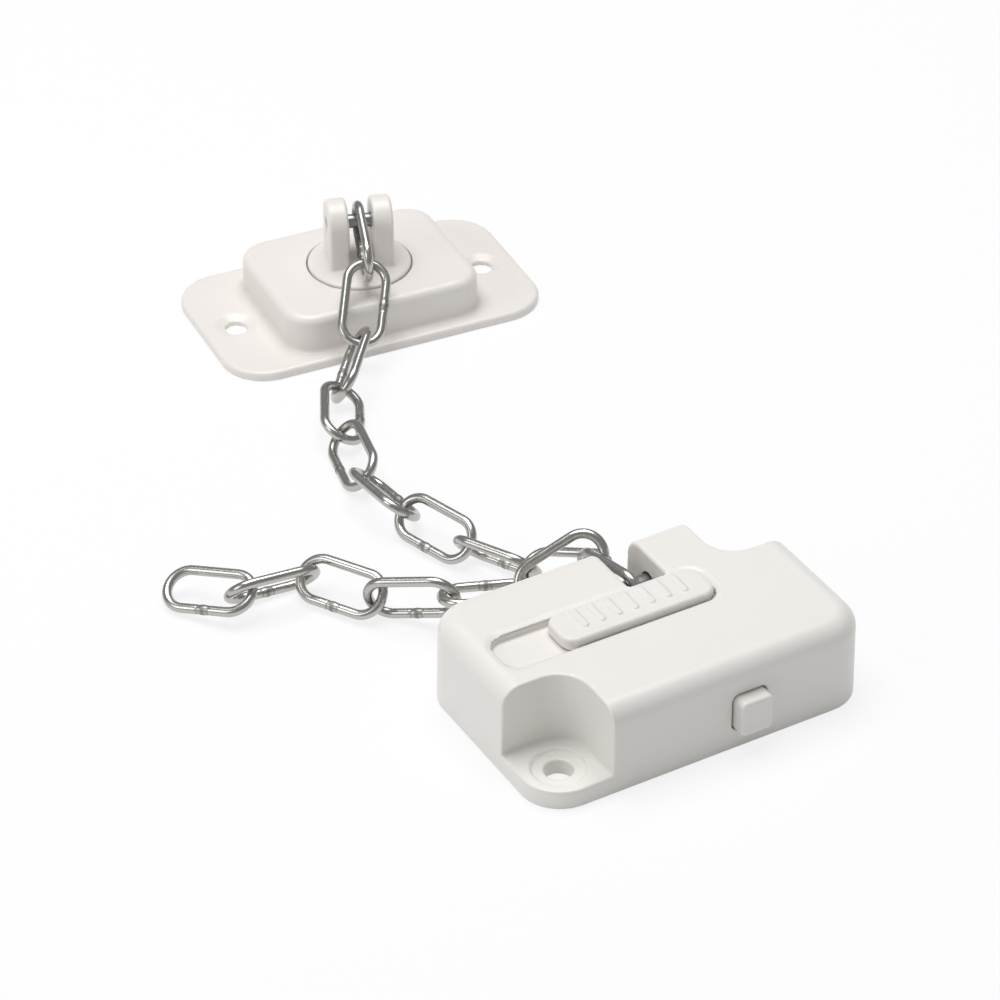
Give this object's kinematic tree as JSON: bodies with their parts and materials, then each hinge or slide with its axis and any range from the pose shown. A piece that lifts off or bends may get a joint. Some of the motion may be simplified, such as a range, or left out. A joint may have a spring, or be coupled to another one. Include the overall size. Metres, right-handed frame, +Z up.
{
  "type": "window safety chain",
  "caption": "Window restrictor: a lock block with a slide bolt holds one link of a welded chain that ends at a swivelling clevis on a screw-on plate.",
  "frame": {"origin": "middle of the lock block's flat underside", "axes": "+X along the lock block towards its slot end, -Y out of the release button, +Z up from the surface that the parts are screwed to"},
  "size_m": [0.1234, 0.1958, 0.0259],
  "materials": {
    "white_plastic": "semi-gloss moulded, off-white",
    "link_steel": "polished stainless wire",
    "fixing_steel": "zinc-plated steel"
  },
  "bodies": {
    "lock": {"lock_housing": "white_plastic", "lock_base_plate": "white_plastic", "base_screw_01": "fixing_steel", "base_screw_02": "fixing_steel", "base_screw_03": "fixing_steel", "base_screw_04": "fixing_steel"},
    "slide": {"slider": "white_plastic", "slide_carrier": "white_plastic", "lock_bolt": "fixing_steel"},
    "release_button": {"button": "white_plastic", "button_spring": "fixing_steel"},
    "link_01": {"chain_link_01": "link_steel"},
    "link_02": {"chain_link_02": "link_steel"},
    "link_03": {"chain_link_03": "link_steel"},
    "link_04": {"chain_link_04": "link_steel"},
    "link_05": {"chain_link_05": "link_steel"},
    "link_06": {"chain_link_06": "link_steel"},
    "link_07": {"chain_link_07": "link_steel"},
    "link_08": {"chain_link_08": "link_steel"},
    "link_09": {"chain_link_09": "link_steel"},
    "link_10": {"chain_link_10": "link_steel"},
    "link_11": {"chain_link_11": "link_steel"},
    "link_12": {"chain_link_12": "link_steel"},
    "link_13": {"chain_link_13": "link_steel"},
    "link_14": {"chain_link_14": "link_steel"},
    "link_15": {"chain_link_15": "link_steel"},
    "link_16": {"chain_link_16": "link_steel"},
    "swivel": {"anchor_swivel": "white_plastic", "clevis_pin": "fixing_steel", "swivel_washer": "fixing_steel", "swivel_screw": "fixing_steel"},
    "anchor": {"anchor_base": "white_plastic"}
  },
  "joints": [
    {"name": "slide_unlock", "type": "slide", "parent": "lock", "child": "slide", "axis": [-1, 0, 0], "range_m": [0, 0.011]},
    {"name": "button_press", "type": "slide", "parent": "lock", "child": "release_button", "axis": [0, 1, 0], "range_m": [0, 0.0023], "stiffness_N_per_m": 400, "springref_m": -0.001, "deforming": ["button_spring"]},
    {"name": "link_10_on_bolt", "type": "hinge", "parent": "lock", "child": "link_10", "pos_m": [0.00525, 0.0147, 0.0125], "axis": [-1, 0, 0], "range_deg": [-27, 0]},
    {"name": "link_09_hook", "type": "hinge", "parent": "link_10", "child": "link_09", "pos_m": [0.0037, 0.02863, 0.00884], "axis": [-0.4587, -0.0224, 0.8883], "range_deg": [-12, 12]},
    {"name": "link_08_hook", "type": "hinge", "parent": "link_09", "child": "link_08", "pos_m": [-0.00362, 0.03882, 0.00532], "axis": [-0.6912, -0.3578, -0.6279], "range_deg": [-75, 75]},
    {"name": "link_07_hook", "type": "hinge", "parent": "link_08", "child": "link_07", "pos_m": [-0.00996, 0.05337, 0.0045], "axis": [0.7138, 0.2455, -0.6559], "range_deg": [-75, 75]},
    {"name": "link_06_hook", "type": "hinge", "parent": "link_07", "child": "link_06", "pos_m": [-0.01474, 0.06849, 0.00491], "axis": [-0.6395, -0.0699, -0.7656], "range_deg": [-75, 75]},
    {"name": "link_05_hook", "type": "hinge", "parent": "link_06", "child": "link_05", "pos_m": [-0.01557, 0.08434, 0.00433], "axis": [0.7329, -0.1803, -0.656], "range_deg": [-75, 75]},
    {"name": "link_04_hook", "type": "hinge", "parent": "link_05", "child": "link_04", "pos_m": [-0.01166, 0.09976, 0.00409], "axis": [0.4548, -0.2418, 0.8572], "range_deg": [-75, 75]},
    {"name": "link_03_hook", "type": "hinge", "parent": "link_04", "child": "link_03", "pos_m": [-0.00393, 0.11365, 0.00411], "axis": [0.6949, -0.4983, -0.5185], "range_deg": [-75, 75]},
    {"name": "link_02_hook", "type": "hinge", "parent": "link_03", "child": "link_02", "pos_m": [0.00688, 0.12479, 0.00763], "axis": [-0.17, -0.5993, 0.7822], "range_deg": [-66, 51]},
    {"name": "link_01_hook", "type": "hinge", "parent": "link_02", "child": "link_01", "pos_m": [0.01432, 0.13487, 0.01753], "axis": [0.9397, -0.342, 0], "range_deg": [0, 72]},
    {"name": "clevis_on_link_01", "type": "hinge", "parent": "link_01", "child": "swivel", "pos_m": [0.01837, 0.14678, 0.0207], "axis": [-0.9397, 0.342, 0], "range_deg": [-72, 0]},
    {"name": "anchor_turn", "type": "hinge", "parent": "swivel", "child": "anchor", "pos_m": [0.01837, 0.14678, 0], "axis": [0, 0, 1], "range_deg": [-36, 4]},
    {"name": "link_11_hook", "type": "hinge", "parent": "link_10", "child": "link_11", "pos_m": [0.00328, 0.02687, 0.01425], "axis": [-0.4863, -0.626, 0.6096], "range_deg": [-66, 3]},
    {"name": "link_12_hook", "type": "hinge", "parent": "link_11", "child": "link_12", "pos_m": [-0.00963, 0.0299, 0.00713], "axis": [-0.1063, -0.2365, -0.9658], "range_deg": [-27, 27]},
    {"name": "link_13_hook", "type": "hinge", "parent": "link_12", "child": "link_13", "pos_m": [-0.02416, 0.03553, 0.00808], "axis": [-0.6958, -0.7019, -0.1524], "range_deg": [-75, 75]},
    {"name": "link_14_hook", "type": "hinge", "parent": "link_13", "child": "link_14", "pos_m": [-0.03405, 0.04697, 0.00426], "axis": [0.5858, 0.3237, -0.743], "range_deg": [-75, 75]},
    {"name": "link_15_hook", "type": "hinge", "parent": "link_14", "child": "link_15", "pos_m": [-0.04151, 0.06052, 0.00429], "axis": [0.076, 0.8061, 0.5868], "range_deg": [-18, 24]},
    {"name": "link_16_hook", "type": "hinge", "parent": "link_15", "child": "link_16", "pos_m": [-0.05756, 0.06019, 0.00528], "axis": [0.4437, 0.1735, -0.8792], "range_deg": [-69, 69]}
  ]
}
